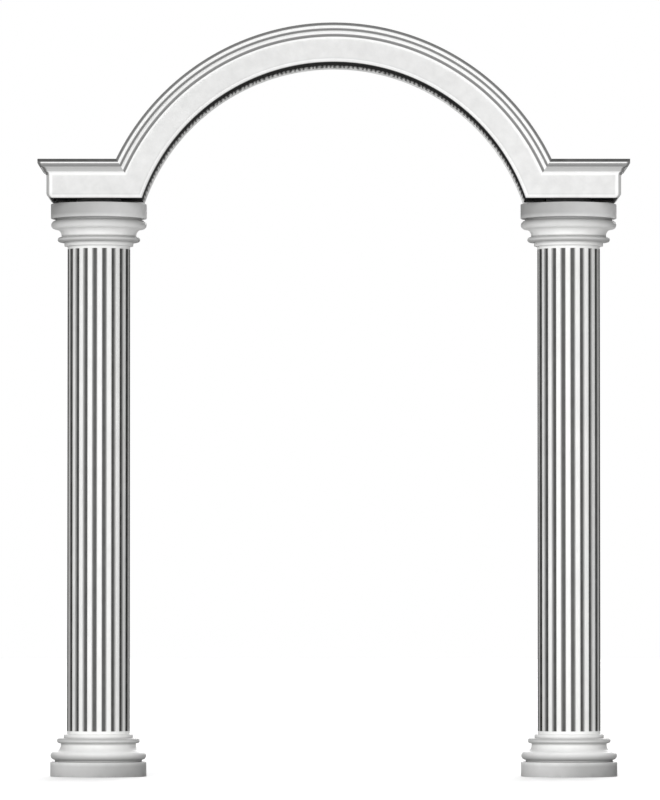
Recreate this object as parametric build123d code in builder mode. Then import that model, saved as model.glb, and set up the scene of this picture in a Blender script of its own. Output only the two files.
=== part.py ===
"""Columned arch portal: two fluted columns carry a hollow header, level over them and arched between.

Millimetres, +Z up, front towards -Y. The origin is on the floor, midway between the columns.
"""

import os
from math import sqrt

from build123d import *

# Header, seen from the front
opening_width = 1524.0
arch_centre_drop = 264.0
return_length = 380.0
header_depth = 388.0
fascia_height = 92.0

# Header boards
board_thickness = 24.0
lining_thickness = 18.0
cover_thickness = 12.0
lining_recess = 6.0
lower_edge_round = 20.0
round_of_board_share = 0.9

# Cornice, from its lower fillet up to its listel
cornice_fillet_height = 3.0
cornice_fillet_projection = 3.0
cove_height = 9.0
cove_projection = 5.0
cove_hollow = 1.5
band_step = 1.0
band_height = 18.0
band_projection = 9.0
band_hollow = 1.5
ovolo_radius = 14.0
listel_height = 18.0
listel_overhang = 2.5

# Columns
column_inset = 178.0
shaft_length = 1950.0
shaft_radius = 125.0
shaft_wall = 35.0
collar_length = 12.0
flute_count = 20
flute_radius = 10.0
flute_depth = 9.0
flute_turn = 3.4
bearing_gap = 14.0
bearing_pad_radius = 90.0

# Base and capital share one turned profile
plinth_radius = 192.0
plinth_height = 58.0
plinth_edge_round = 4.0
quirk_height = 8.0
torus_radius = 191.0
torus_height = 34.0
cavetto_radius = 24.0
neck_height = 8.0
bead_radius = 165.0
bead_height = 20.0
top_fillet_radius = 138.0
top_fillet_height = 16.0

# Sizes that follow from those above
moulding_height = quirk_height + torus_height + cavetto_radius + neck_height + bead_height + top_fillet_height
foot_height = plinth_height + moulding_height
capital_base = foot_height + shaft_length
abacus_top = capital_base + foot_height
header_base = abacus_top + bearing_gap
half_opening = opening_width / 2
half_depth = header_depth / 2
header_end = half_opening + return_length
column_axis = half_opening + column_inset
arch_centre = header_base - arch_centre_drop
arch_radius = sqrt(half_opening**2 + arch_centre_drop**2)
cornice_height = cornice_fillet_height + cove_height + band_height + ovolo_radius + listel_height
cove_reach = cornice_fillet_projection + cove_projection
band_reach = cove_reach + band_step + band_projection
cornice_projection = band_reach + ovolo_radius + listel_overhang
face_height = fascia_height + cornice_height
cover_base = face_height - cover_thickness
inner_depth = header_depth - 2 * board_thickness
edge_round = min(lower_edge_round, round_of_board_share * board_thickness)
lining_top = lining_recess + lining_thickness
bed_end = header_end - board_thickness

SIDES = {"left": -1, "right": 1}
FACES = {"front": -1, "back": 1}
arch_axis = Axis((0, 0, arch_centre), (0, -1, 0))


def write(piece, name):
    """Labels a finished piece and writes it to its own file."""
    piece.part.label = name
    export_step(piece.part, f"parts/{name}.step")


def meeting(offset):
    """Half width at which the level line and the arch meet, this far out from the header's lower edge."""
    return sqrt((arch_radius + offset) ** 2 - (arch_centre_drop + offset) ** 2)


def crest(offset):
    """Height of the arch's top, this far out from the header's lower edge."""
    return arch_centre + arch_radius + offset


def haunch_plane(side):
    """Mitre plane between a level run and the arch, with its normal towards the level run."""
    low = Vector(side * meeting(fascia_height), 0, header_base + fascia_height)
    high = Vector(side * meeting(face_height), 0, header_base + face_height)
    rise = high - low
    return Plane(origin=low, x_dir=(0, 1, 0), z_dir=(side * rise.Z, 0, -side * rise.X))


def corner_plane(side, face):
    """Upright mitre plane at a corner of the header, with its normal towards the end piece."""
    return Plane(origin=(side * header_end, face * half_depth, 0), x_dir=(0, 0, 1), z_dir=(side, -face, 0))


def turned_outline():
    """Half section of the base moulding, its height measured from the plinth."""
    torus_base = quirk_height
    torus_top = torus_base + torus_height
    torus_centre = torus_radius - torus_height / 2
    neck_radius = torus_centre - cavetto_radius
    neck_base = torus_top + cavetto_radius
    bead_base = neck_base + neck_height
    bead_top = bead_base + bead_height
    bead_centre = bead_radius - bead_height / 2
    with BuildLine() as outline:
        Polyline((0, 0), (torus_centre, 0), (torus_centre, torus_base))
        ThreePointArc(
            (torus_centre, torus_base),
            (torus_radius, torus_base + torus_height / 2),
            (torus_centre, torus_top),
        )
        CenterArc((torus_centre, neck_base), cavetto_radius, start_angle=180, arc_size=90)
        Polyline((neck_radius, neck_base), (neck_radius, bead_base), (bead_centre, bead_base))
        ThreePointArc(
            (bead_centre, bead_base),
            (bead_radius, bead_base + bead_height / 2),
            (bead_centre, bead_top),
        )
        Polyline(
            (bead_centre, bead_top),
            (top_fillet_radius, bead_top),
            (top_fillet_radius, moulding_height),
            (0, moulding_height),
            (0, 0),
        )
    return outline.line


def turned_moulding(side, base, up):
    """Turned moulding on a column's axis, rising (up = 1) or hanging (up = -1) from the height base."""
    axis_foot = Plane(origin=(side * column_axis, 0, base), x_dir=(1, 0, 0), z_dir=(0, -up, 0))
    with BuildPart() as moulding:
        with BuildSketch(axis_foot):
            add(turned_outline())
            make_face()
        revolve(axis=Axis((side * column_axis, 0, base), (0, 0, 1)))
    return moulding


def round_block(side, base, up):
    """Round plinth (up = 1) or abacus (up = -1), the edge beside its moulding rounded."""
    with BuildPart() as block:
        with BuildSketch(Plane.XY.offset(base)):
            with Locations((side * column_axis, 0)):
                Circle(plinth_radius)
        extrude(amount=plinth_height)
        fillet(block.faces().sort_by(Axis.Z, reverse=up < 0)[-1].edges(), radius=plinth_edge_round)
    return block


def fluted_shaft(side):
    """Hollow shaft whose flutes stop square at plain collars; a land faces forwards and a little inwards."""
    with BuildPart() as shaft:
        with BuildSketch(Plane.XY.offset(foot_height)):
            with Locations((side * column_axis, 0)):
                Circle(shaft_radius)
                Circle(shaft_radius - shaft_wall, mode=Mode.SUBTRACT)
        extrude(amount=shaft_length)
        with BuildSketch(Plane.XY.offset(foot_height + collar_length)):
            with Locations((side * column_axis, 0)):
                with PolarLocations(
                    shaft_radius - flute_depth + flute_radius,
                    flute_count,
                    start_angle=180 / flute_count - side * flute_turn,
                ):
                    Circle(flute_radius)
        extrude(amount=shaft_length - 2 * collar_length, mode=Mode.SUBTRACT)
    return shaft


def bearing_pad(side):
    """Round pad that carries the bed board clear of the abacus."""
    with BuildPart() as pad:
        with BuildSketch(Plane.XY.offset(abacus_top)):
            with Locations((side * column_axis, 0)):
                Circle(bearing_pad_radius)
        extrude(amount=bearing_gap + lining_recess)
    return pad


def level_board(side, low, high, end, depth):
    """Level board from the haunch to the end, between two offsets from the header's lower edge."""
    with BuildPart() as board:
        with BuildSketch(Plane.XZ):
            with BuildLine():
                Polyline(
                    (side * meeting(low), header_base + low),
                    (side * end, header_base + low),
                    (side * end, header_base + high),
                    (side * meeting(high), header_base + high),
                    (side * meeting(low), header_base + low),
                )
            make_face()
        extrude(amount=depth / 2, both=True)
    return board


def arch_board(low, high, depth):
    """Curved board over the opening, between two offsets from the header's lower edge."""
    with BuildPart() as board:
        with BuildSketch(Plane.XZ):
            with BuildLine():
                low_right = (meeting(low), header_base + low)
                high_right = (meeting(high), header_base + high)
                low_left = (-meeting(low), header_base + low)
                high_left = (-meeting(high), header_base + high)
                ThreePointArc(low_right, (0, crest(low)), low_left)
                Line(low_left, high_left)
                ThreePointArc(high_left, (0, crest(high)), high_right)
                Line(high_right, low_right)
            make_face()
        extrude(amount=depth / 2, both=True)
    return board


def fascia(face):
    """Face board in the header's whole outline, its outer lower edge rounded and its ends mitred."""
    with BuildPart() as board:
        with BuildSketch(Plane.XZ.offset(-face * half_depth)):
            with BuildLine():
                top = header_base + cover_base
                shoulder = meeting(cover_base)
                Line((header_end, header_base), (half_opening, header_base))
                ThreePointArc((half_opening, header_base), (0, crest(0)), (-half_opening, header_base))
                Polyline(
                    (-half_opening, header_base),
                    (-header_end, header_base),
                    (-header_end, top),
                    (-shoulder, top),
                )
                ThreePointArc((-shoulder, top), (0, crest(cover_base)), (shoulder, top))
                Polyline((shoulder, top), (header_end, top), (header_end, header_base))
            make_face()
        extrude(amount=face * board_thickness)
        outer = board.edges().filter_by_position(Axis.Y, face * half_depth, face * half_depth)
        level_edges = outer.filter_by(Axis.X).filter_by_position(Axis.Z, header_base, header_base)
        arch_edge = outer.filter_by(GeomType.CIRCLE).sort_by(SortBy.RADIUS)[0]
        fillet([*level_edges, arch_edge], radius=edge_round)
        for side in SIDES.values():
            split(bisect_by=corner_plane(side, face), keep=Keep.BOTTOM)
    return board


def end_board(side):
    """Board that closes an end of the header, its lower edge rounded and its sides mitred to the fascias."""
    with BuildPart() as board:
        with BuildSketch(Plane.XZ):
            with BuildLine():
                Polyline(
                    (side * header_end, header_base),
                    (side * header_end, header_base + cover_base),
                    (side * (header_end - board_thickness), header_base + cover_base),
                    (side * (header_end - board_thickness), header_base),
                    (side * header_end, header_base),
                )
            make_face()
        extrude(amount=half_depth, both=True)
        lower_edges = board.edges().filter_by(Axis.Y).group_by(Axis.Z)[0]
        fillet(lower_edges.sort_by(Axis.X, reverse=side < 0)[-1], radius=edge_round)
        for face in FACES.values():
            split(bisect_by=corner_plane(side, face), keep=Keep.TOP)
    return board


def cornice_outline(across, up, turn):
    """Cornice section outwards (turn = 1 or -1) from across, up: fillet, cove, band, ovolo and listel."""
    cove_base = up + cornice_fillet_height
    cove_top = cove_base + cove_height
    band_top = cove_top + band_height
    listel_base = band_top + ovolo_radius
    listel_top = listel_base + listel_height
    cove_inner = across + turn * cornice_fillet_projection
    cove_outer = across + turn * cove_reach
    band_inner = cove_outer + turn * band_step
    band_outer = across + turn * band_reach
    ovolo_outer = band_outer + turn * ovolo_radius
    lip = across + turn * cornice_projection
    with BuildLine() as outline:
        Polyline((across, up), (cove_inner, up), (cove_inner, cove_base))
        SagittaArc((cove_inner, cove_base), (cove_outer, cove_top), turn * cove_hollow)
        Line((cove_outer, cove_top), (band_inner, cove_top))
        SagittaArc((band_inner, cove_top), (band_outer, band_top), turn * band_hollow)
        CenterArc((band_outer, listel_base), ovolo_radius, start_angle=-90, arc_size=turn * 90)
        Polyline(
            (ovolo_outer, listel_base),
            (lip, listel_base),
            (lip, listel_top),
            (across, listel_top),
            (across, up),
        )
    return outline.line


def level_cornice(side, face):
    """Cornice along a level run, mitred to the arch and at the corner."""
    with BuildPart() as cornice:
        with BuildSketch(Plane.YZ):
            add(cornice_outline(face * half_depth, header_base + fascia_height, face))
            make_face()
        extrude(amount=side * (header_end + cornice_projection))
        split(bisect_by=haunch_plane(side), keep=Keep.TOP)
        split(bisect_by=corner_plane(side, face), keep=Keep.BOTTOM)
    return cornice


def arch_cornice(face):
    """Cornice carried round the arch and mitred to the level runs."""
    with BuildPart() as cornice:
        with BuildSketch(Plane(origin=(0, 0, arch_centre), x_dir=(0, 1, 0), z_dir=(0, 0, -1))):
            add(cornice_outline(face * half_depth, arch_radius + fascia_height, face))
            make_face()
        revolve(axis=arch_axis, revolution_arc=180)
        for side in SIDES.values():
            split(bisect_by=haunch_plane(side), keep=Keep.BOTTOM)
    return cornice


def end_cornice(side):
    """Cornice across an end of the header, mitred at both corners."""
    with BuildPart() as cornice:
        with BuildSketch(Plane.XZ):
            add(cornice_outline(side * header_end, header_base + fascia_height, side))
            make_face()
        extrude(amount=half_depth + cornice_projection, both=True)
        for face in FACES.values():
            split(bisect_by=corner_plane(side, face), keep=Keep.TOP)
    return cornice


os.makedirs("parts", exist_ok=True)

for side_name, side in SIDES.items():
    write(round_block(side, 0, 1), f"{side_name}_plinth")
    write(turned_moulding(side, plinth_height, 1), f"{side_name}_base_moulding")
    write(fluted_shaft(side), f"{side_name}_shaft")
    write(turned_moulding(side, abacus_top - plinth_height, -1), f"{side_name}_capital_moulding")
    write(round_block(side, abacus_top - plinth_height, -1), f"{side_name}_abacus")
    write(bearing_pad(side), f"{side_name}_bearing_pad")
    write(level_board(side, lining_recess, lining_top, bed_end, inner_depth), f"{side_name}_bed_board")
    write(end_board(side), f"{side_name}_end_board")
    write(level_board(side, cover_base, face_height, header_end, header_depth), f"{side_name}_top_board")
    write(end_cornice(side), f"{side_name}_end_cornice")

write(arch_board(lining_recess, lining_top, inner_depth), "arch_soffit")
write(arch_board(cover_base, face_height, header_depth), "arch_top_board")

for face_name, face in FACES.items():
    write(fascia(face), f"{face_name}_fascia")
    write(arch_cornice(face), f"{face_name}_arch_cornice")
    for side_name, side in SIDES.items():
        write(level_cornice(side, face), f"{face_name}_{side_name}_cornice")
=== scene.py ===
"""Plaster surfaces and a studio stage for the columned arch portal: an add-on that is run as a script.

Metres, +Z up, front towards -Y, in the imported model's own frame. Every piece is a stack of closed rings of
points, capped at both ends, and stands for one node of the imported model.
"""

import math
from types import SimpleNamespace

import bmesh
import bpy
import numpy as np
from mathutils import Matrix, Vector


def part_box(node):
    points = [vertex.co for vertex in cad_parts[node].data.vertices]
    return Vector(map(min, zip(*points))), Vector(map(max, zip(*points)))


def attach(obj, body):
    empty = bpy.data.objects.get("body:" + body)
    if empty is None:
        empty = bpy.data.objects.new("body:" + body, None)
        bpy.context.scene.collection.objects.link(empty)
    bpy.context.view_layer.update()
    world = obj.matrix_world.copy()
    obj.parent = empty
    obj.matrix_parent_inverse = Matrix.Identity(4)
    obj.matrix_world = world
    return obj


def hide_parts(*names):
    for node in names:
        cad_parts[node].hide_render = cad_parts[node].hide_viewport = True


bl_info = {
    "name": "Columned Arch Portal",
    "version": (1, 0, 0),
    "blender": (4, 5, 0),
    "location": "View3D > Sidebar > Portal",
    "description": "Plaster surfaces and a studio stage for the columned arch portal",
    "category": "Object",
}

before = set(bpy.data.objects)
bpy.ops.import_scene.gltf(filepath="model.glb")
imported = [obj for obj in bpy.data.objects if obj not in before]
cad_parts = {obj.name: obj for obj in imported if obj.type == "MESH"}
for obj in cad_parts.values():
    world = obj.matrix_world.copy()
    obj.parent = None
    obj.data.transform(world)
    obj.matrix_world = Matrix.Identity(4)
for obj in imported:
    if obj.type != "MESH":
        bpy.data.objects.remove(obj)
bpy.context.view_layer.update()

SIDES = {"left": -1, "right": 1}
FACES = {"front": -1, "back": 1}

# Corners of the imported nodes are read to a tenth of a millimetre
FRAME_DIGITS = 4

# Points round a turned ring, along the arch, in a flute, on a land, round a softened corner and along a curve
TURN_STEPS = 160
ARCH_STEPS = 128
FLUTE_STEPS = 14
LAND_STEPS = 9
CORNER_STEPS = 5
CURVE_STEPS = 13

# Even rows along a flat board, a level fascia, a level cornice, an end board and an end cornice
FLAT_STEPS = 9
FASCIA_STEPS = 10
CORNICE_STEPS = 8
END_BOARD_STEPS = 9
END_CORNICE_STEPS = 7

# Distances from a mitred corner at which a run has rows, besides its even ones
CORNER_ROWS = (0.001, 0.004, 0.007, 0.009, 0.011, 0.015, 0.020, 0.023, 0.026, 0.030)
# Rows of a cornice close to the arch's mitres, as shares of its run
MITRE_SHARES = (0.001, 0.003)

# Longest side left in the section of a round block, a turned moulding, a flat board, a fascia and a cornice
BLOCK_SPACING = 0.016
MOULDING_SPACING = 0.010
FLAT_SPACING = 0.012
FASCIA_SPACING = 0.008
CORNICE_SPACING = 0.003

# Edges that turn by more than this stay sharp in the shading
SHARP_ANGLE = math.radians(42.0)


def corners(node):
    """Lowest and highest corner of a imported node."""
    return np.round(np.array(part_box(node)), FRAME_DIGITS)


def header_frame():
    """Sizes of the header, read from the corners of its nodes; heights count from its lower edge."""
    header = SimpleNamespace()
    end_low, end_high = corners("right_end_board")
    face_low, face_high = corners("front_fascia")
    cornice_low, cornice_high = corners("right_end_cornice")
    bed_low, bed_high = corners("right_bed_board")
    cover_high = corners("right_top_board")[1]
    arch_high = corners("arch_top_board")[1]
    header.base = end_low[2]
    header.end = end_high[0]
    header.half_depth = -face_low[1]
    header.board = face_high[1] - face_low[1]
    header.cover = end_high[2] - header.base
    header.top = cover_high[2] - header.base
    header.fascia = cornice_low[2] - header.base
    header.reach = cornice_high[0] - header.end
    header.lining_low = bed_low[2] - header.base
    header.lining_high = bed_high[2] - header.base
    header.lining_half = bed_high[1]
    header.bed_end = bed_high[0]
    half_chord = arch_high[0]
    rise = arch_high[2] - cover_high[2]
    outer_radius = (half_chord**2 + rise**2) / (2.0 * rise)
    header.centre = arch_high[2] - outer_radius
    header.radius = outer_radius - header.top
    header.drop = header.base - header.centre
    return header


HEADER = header_frame()


def length(name, description, default):
    """Length property in metres."""
    return bpy.props.FloatProperty(
        name=name, description=description, default=default, min=0.0, precision=4, unit="LENGTH"
    )


def share(name, description, default):
    """Share or strength property without a unit."""
    return bpy.props.FloatProperty(name=name, description=description, default=default, min=0.0)


def colour(name, description, default):
    """Linear colour property."""
    return bpy.props.FloatVectorProperty(
        name=name, description=description, default=default, size=3, min=0.0, max=1.0, subtype="COLOR"
    )


def angle(name, description, degrees):
    """Angle property, its default given in degrees."""
    return bpy.props.FloatProperty(
        name=name, description=description, default=math.radians(degrees), subtype="ANGLE"
    )


class PortalColumns(bpy.types.PropertyGroup):
    """Column sizes that the nodes' corners don't give."""

    flute_count: bpy.props.IntProperty(
        name="Flutes", description="Number of flutes round a shaft", default=20, min=3
    )
    flute_radius: length("Flute radius", "Radius of the round hollow of a flute", 0.010)
    flute_depth: length("Flute depth", "Depth of a flute below the shaft's surface", 0.009)
    flute_turn: angle("Flute turn", "How far each shaft's front land is turned towards the opening", 3.4)
    collar_length: length("Collar length", "Plain length at each end of a shaft", 0.012)
    arris_round: length("Arris rounding", "Width over which a land rounds off to its flute", 0.0015)
    block_round: length("Block rounding", "Rounding of the plinths and abaci beside the mouldings", 0.004)
    quirk_height: length("Quirk height", "Height of the groove between plinth and torus", 0.008)
    torus_height: length("Torus height", "Height of the large half round", 0.034)
    cavetto_radius: length("Cavetto radius", "Radius of the hollow over the torus", 0.024)
    neck_height: length("Neck height", "Height of the upright neck under the bead", 0.008)
    bead_radius: length("Bead radius", "Largest radius of the small half round", 0.165)
    bead_height: length("Bead height", "Height of the small half round", 0.020)
    fillet_radius: length("Fillet radius", "Radius of the plain fillet beside the shaft", 0.138)
    softness: length("Softness", "Rounding of the cast edges", 0.0015)


class PortalHeader(bpy.types.PropertyGroup):
    """Header sizes that the nodes' corners don't give."""

    lower_round: length("Lower rounding", "Rounding of the boards' outer lower edge", 0.020)
    fillet_height: length("Fillet height", "Height of the cornice's lowest fillet", 0.003)
    fillet_projection: length("Fillet projection", "Projection of the cornice's lowest fillet", 0.003)
    cove_height: length("Cove height", "Height of the cornice's cove", 0.009)
    cove_projection: length("Cove projection", "How far the cove leans out", 0.005)
    cove_hollow: length("Cove hollow", "Depth of the cove's hollow", 0.0015)
    band_step: length("Band step", "Step between the cove and the band", 0.001)
    band_height: length("Band height", "Height of the cornice's hollow band", 0.018)
    band_projection: length("Band projection", "How far the band leans out", 0.009)
    band_hollow: length("Band hollow", "Depth of the band's hollow", 0.0015)
    ovolo_radius: length("Ovolo radius", "Radius of the quarter round under the listel", 0.014)
    softness: length("Softness", "Rounding of the boards' and mouldings' edges", 0.0012)
    seam: length("Seam", "How far pieces draw back at their mitres", 0.0006)


class PortalFinish(bpy.types.PropertyGroup):
    """Colours and grain of the plaster finishes."""

    shaft_white: colour("Shaft white", "Lands and collars of the shafts", (0.93, 0.93, 0.92))
    moulding_white: colour("Moulding white", "Turned mouldings", (0.82, 0.82, 0.81))
    block_grey: colour("Block grey", "Plinths and abaci", (0.64, 0.64, 0.635))
    fascia_grey: colour("Fascia grey", "Field of the header boards", (0.80, 0.80, 0.795))
    cornice_white: colour("Cornice white", "Cornice between its glazed lines", (0.86, 0.86, 0.855))
    # Painted highlights on the boards' and blocks' edges, and wear on the mouldings, take this white
    border_white: colour("Border white", "Worn edges and the fascia's border", (0.96, 0.96, 0.955))
    # Colour of the painted shade and of the dark joints
    shade_and_joint_dark: colour("Glaze", "Dark glaze that fills flutes, quirks and undersides", (0.010, 0.010, 0.0095))
    lining_grey: colour("Lining grey", "Combed side of the arch soffit", (0.88, 0.88, 0.87))
    cloud_size: length("Cloud size", "Size of the broad tone changes", 0.16)
    mottle_size: length("Mottle size", "Size of the trowel mottling", 0.035)
    grain_size: length("Grain size", "Size of the plaster's grain", 0.0028)
    pore_spacing: length("Pore spacing", "Distance between air pores", 0.016)
    comb_spacing: length("Comb spacing", "Distance between the soffit's comb strokes", 0.018)


class PortalPaintedLightAndJoints(bpy.types.PropertyGroup):
    """Strengths and widths of the painted shade, of the painted highlights on pale edges and of the dark
    joints.
    """

    # Painted shade in the flutes, and more on flutes and lands at the shafts' sides, where shade falls
    flute: share("Flute glaze", "Glaze in the flutes at the front and back", 0.88)
    side_flute: share("Side flute glaze", "Glaze added in the flutes at the sides", 0.115)
    flute_full: length("Flute glaze width", "Half width of a flute's full glaze", 0.0046)
    side_full: length("Side flute glaze width", "Half width added to it at the sides", 0.0046)
    flute_fade: length("Flute glaze fade", "Width over which a flute's glaze fades on to the lands", 0.0085)
    side_land: share("Side land glaze", "Thin glaze on the lands at the sides", 0.45)
    shaft_joint: share("Shaft joint glaze", "Glaze where a shaft meets its mouldings", 0.3)
    # Painted shade in the quirk, over the torus and beside the bead; bead_light is a painted highlight on it
    quirk: share("Quirk glaze", "Glaze in the groove beside a plinth or abacus", 0.55)
    torus: share("Torus glaze", "Glaze on the torus beside the quirk, fading over it", 0.56)
    bead: share("Bead glaze", "Glaze in the corners beside the bead", 0.46)
    bead_light: share("Bead light", "Share of that glaze worn off the middle of the bead", 0.6)
    # Painted shade on one side of each plinth and abacus, painted light on the other, painted highlight on
    # the lip
    block_side_shade: share("Block drift", "Glaze on the darker side of a plinth or abacus", 0.32)
    plinth_pale: share("Plinth paleness", "Paleness of a plinth's other side", 0.25)
    abacus_pale: share("Abacus paleness", "Paleness of an abacus's other side", 0.5)
    block_lip: share("Block lip", "Paleness of a plinth's or abacus's edge beside its moulding", 0.7)
    # Painted shade on the bearing pads, under the boards and on the boards' inner sides
    pad: share("Pad glaze", "Glaze on the bearing pads", 0.5)
    under: share("Underside glaze", "Glaze under the front and end boards", 1.0)
    back_under: share("Back underside glaze", "Glaze under the back board", 0.06)
    inside: share("Inner glaze", "Glaze on the inner side of the boards", 0.12)
    corner: share("Corner glaze", "Glaze on the corners of the boards", 0.6)
    corner_width: length("Corner glaze width", "Width of the glazed line on a board's corner", 0.009)
    mitre: share("Mitre glaze", "Glaze on the corners of the cornice", 0.85)
    mitre_width: length("Mitre glaze width", "Width of the glazed line on a cornice's corner", 0.010)
    # Painted highlight as pale border along the boards' edges, with a faint painted shade line above it
    border: length("Border width", "Width of the pale border along a board's lower edge", 0.012)
    border_side: length("Side border width", "Width of the pale border at a board's ends", 0.020)
    border_quirk: share("Border quirk", "Faint glaze where the border meets the field", 0.06)


class PortalStage(bpy.types.PropertyGroup):
    """Camera, floor and lights."""

    camera_distance: length("Camera distance", "From the columns' plane to the camera", 26.0)
    camera_height: length("Camera height", "Height of the camera over the floor", 0.67)
    aim_height: length("Aim height", "Height that the camera looks at, at the columns", 1.503)
    camera_shift: bpy.props.FloatProperty(
        name="Camera side step", description="Sideways place of the camera", default=-0.015, unit="LENGTH"
    )
    picture_height: length("Picture height", "Height that the picture covers at the columns", 3.2)
    floor_radius: length("Floor radius", "Radius of the floor disc", 60.0)
    floor_tone: colour("Floor", "Pale floor", (0.97, 0.97, 0.97))
    bounce: share("Floor bounce", "Share of the floor's tone that lights the portal from below", 0.4)
    sky_light: share("Sky light", "Strength of the light from all round", 0.22)
    backdrop: share("Backdrop", "Brightness of the plain background", 1.0)
    key_light: share("Key light", "Strength of the light from the front left", 1.55)
    low_light: bpy.props.FloatProperty(
        name="Low light", description="Power of the wide lamp low in front", default=105.0, unit="POWER"
    )
    low_light_width: length("Low light width", "Width of that lamp", 4.0)
    low_light_height: length("Low light height", "Height of that lamp", 0.6)
    low_light_distance: length("Low light distance", "From the columns' plane to that lamp", 5.33)
    top_light: share("Top light", "Strength of the light from above", 1.5)
    back_light: share("Back light", "Strength of the light from behind", 2.3)
    softness: angle("Light softness", "Angle that each light fills", 40.0)


def smooth(values):
    """Rises from 0 to 1 with the values and is level at both ends: 3 t t - 2 t t t."""
    ramp = np.clip(values, 0.0, 1.0)
    return ramp * ramp * (3.0 - 2.0 * ramp)


def band(values, low, high, blur):
    """One between low and high, fading to zero over blur on either side."""
    return smooth((values - low) / blur + 1.0) * smooth((high - values) / blur + 1.0)


def arc(centre, radius, start, end):
    """Points round a centre at one radius, from one angle to another, in degrees."""
    turn = np.radians(np.linspace(start, end, CURVE_STEPS))
    return np.array(centre) + radius * np.column_stack((np.cos(turn), np.sin(turn)))


def bow(start, end, hollow):
    """Shallow curve between two points: the chord, moved left by hollow times 1 - s s, s from -1 to 1."""
    start, end = np.array(start), np.array(end)
    chord = end - start
    left = np.array((-chord[1], chord[0])) / np.hypot(*chord)
    along = np.linspace(-1.0, 1.0, CURVE_STEPS)[:, None]
    return start + chord * (along + 1.0) / 2.0 + left * hollow * (1.0 - along * along)


def soften(outline, reach):
    """Rounds an outline's corners. Each corner P gives way to the curve P + (1 - t)^2 B + t^2 A, where B and
    A point back and ahead along its two sides and are as long as its reach, or less than half the side."""
    outline = np.asarray(outline, float)
    reach = np.broadcast_to(reach, len(outline))[:, None]
    back = np.roll(outline, 1, axis=0) - outline
    ahead = np.roll(outline, -1, axis=0) - outline
    half_side = 0.45
    back *= np.minimum(reach / np.linalg.norm(back, axis=1, keepdims=True), half_side)
    ahead *= np.minimum(reach / np.linalg.norm(ahead, axis=1, keepdims=True), half_side)
    step = np.linspace(0.0, 1.0, CORNER_STEPS)[None, :, None]
    curve = outline[:, None] + (1.0 - step) ** 2 * back[:, None] + step**2 * ahead[:, None]
    first = np.arange(CORNER_STEPS) == 0
    return curve[(reach > 0.0) | first]


def divide(outline, spacing, closed=True):
    """Adds evenly spaced points to every side of an outline that is longer than spacing."""
    sides = np.roll(outline, -1, axis=0) - outline
    if not closed:
        sides[-1] = 0.0
    counts = np.maximum(1, np.ceil(np.linalg.norm(sides, axis=1) / spacing)).astype(int)
    place = np.arange(counts.sum()) - np.repeat(np.cumsum(counts) - counts, counts)
    part = place / np.repeat(counts, counts)
    return np.repeat(outline, counts, axis=0) + np.repeat(sides, counts, axis=0) * part[:, None]


def drawn_in(section, amount):
    """Closed section moved inwards by an amount, along the normals of the chords beside each point."""
    chord = np.roll(section, -1, axis=0) - np.roll(section, 1, axis=0)
    normal = np.column_stack((chord[:, 1], -chord[:, 0]))
    shortest = 1e-9
    normal /= np.maximum(np.linalg.norm(normal, axis=1, keepdims=True), shortest)
    ahead = np.roll(section, -1, axis=0)
    turn = np.sign(np.sum(section[:, 0] * ahead[:, 1] - ahead[:, 0] * section[:, 1]))
    return section - normal * turn * amount


def turned(profile, axis):
    """Profile of radius r and height z turned about an upright axis: x = axis + r cos a, y = r sin a."""
    turn = np.linspace(0.0, 2.0 * np.pi, TURN_STEPS, endpoint=False)
    radius, height = profile[:, :1], profile[:, 1:]
    x = axis + radius * np.cos(turn)
    y = radius * np.sin(turn)
    return np.stack((x, y, np.broadcast_to(height, x.shape)), axis=-1)


def meeting(up):
    """Half width where a level line and the arch meet, this far over the header's lower edge."""
    return np.sqrt((HEADER.radius + up) ** 2 - (HEADER.drop + up) ** 2)


def level_rows(section, end, shares, side):
    """Level run: each point (depth, height) of a section goes from the end to where it meets the arch."""
    depth, up = section.T
    x = side * (end + (meeting(up) - end) * np.asarray(shares)[:, None])
    y = np.broadcast_to(depth, x.shape)
    return np.stack((x, y, np.broadcast_to(HEADER.base + up, x.shape)), axis=-1)


def arch_rows(section, shares):
    """Arch: each point of a section goes round the arch's centre at radius + height, from right to left."""
    depth, up = section.T
    start = np.arcsin((HEADER.drop + up) / (HEADER.radius + up))
    turn = start + (np.pi - 2.0 * start) * np.asarray(shares)[:, None]
    x = (HEADER.radius + up) * np.cos(turn)
    z = HEADER.centre + (HEADER.radius + up) * np.sin(turn)
    return np.stack((x, np.broadcast_to(depth, x.shape), z), axis=-1)


def end_rows(section, shares, side):
    """End run: each point of a section (projection, height) goes from the front mitre to the back one."""
    out, up = section.T
    y = (HEADER.half_depth + out) * np.asarray(shares)[:, None]
    x = np.broadcast_to(side * (HEADER.end + out), y.shape)
    return np.stack((x, y, np.broadcast_to(HEADER.base + up, y.shape)), axis=-1)


def on_face(section, face):
    """Section of projection and height, set against the front (-1) or back (1) plane as depth and height."""
    return np.column_stack((face * (HEADER.half_depth + section[:, 0]), section[:, 1]))


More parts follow.
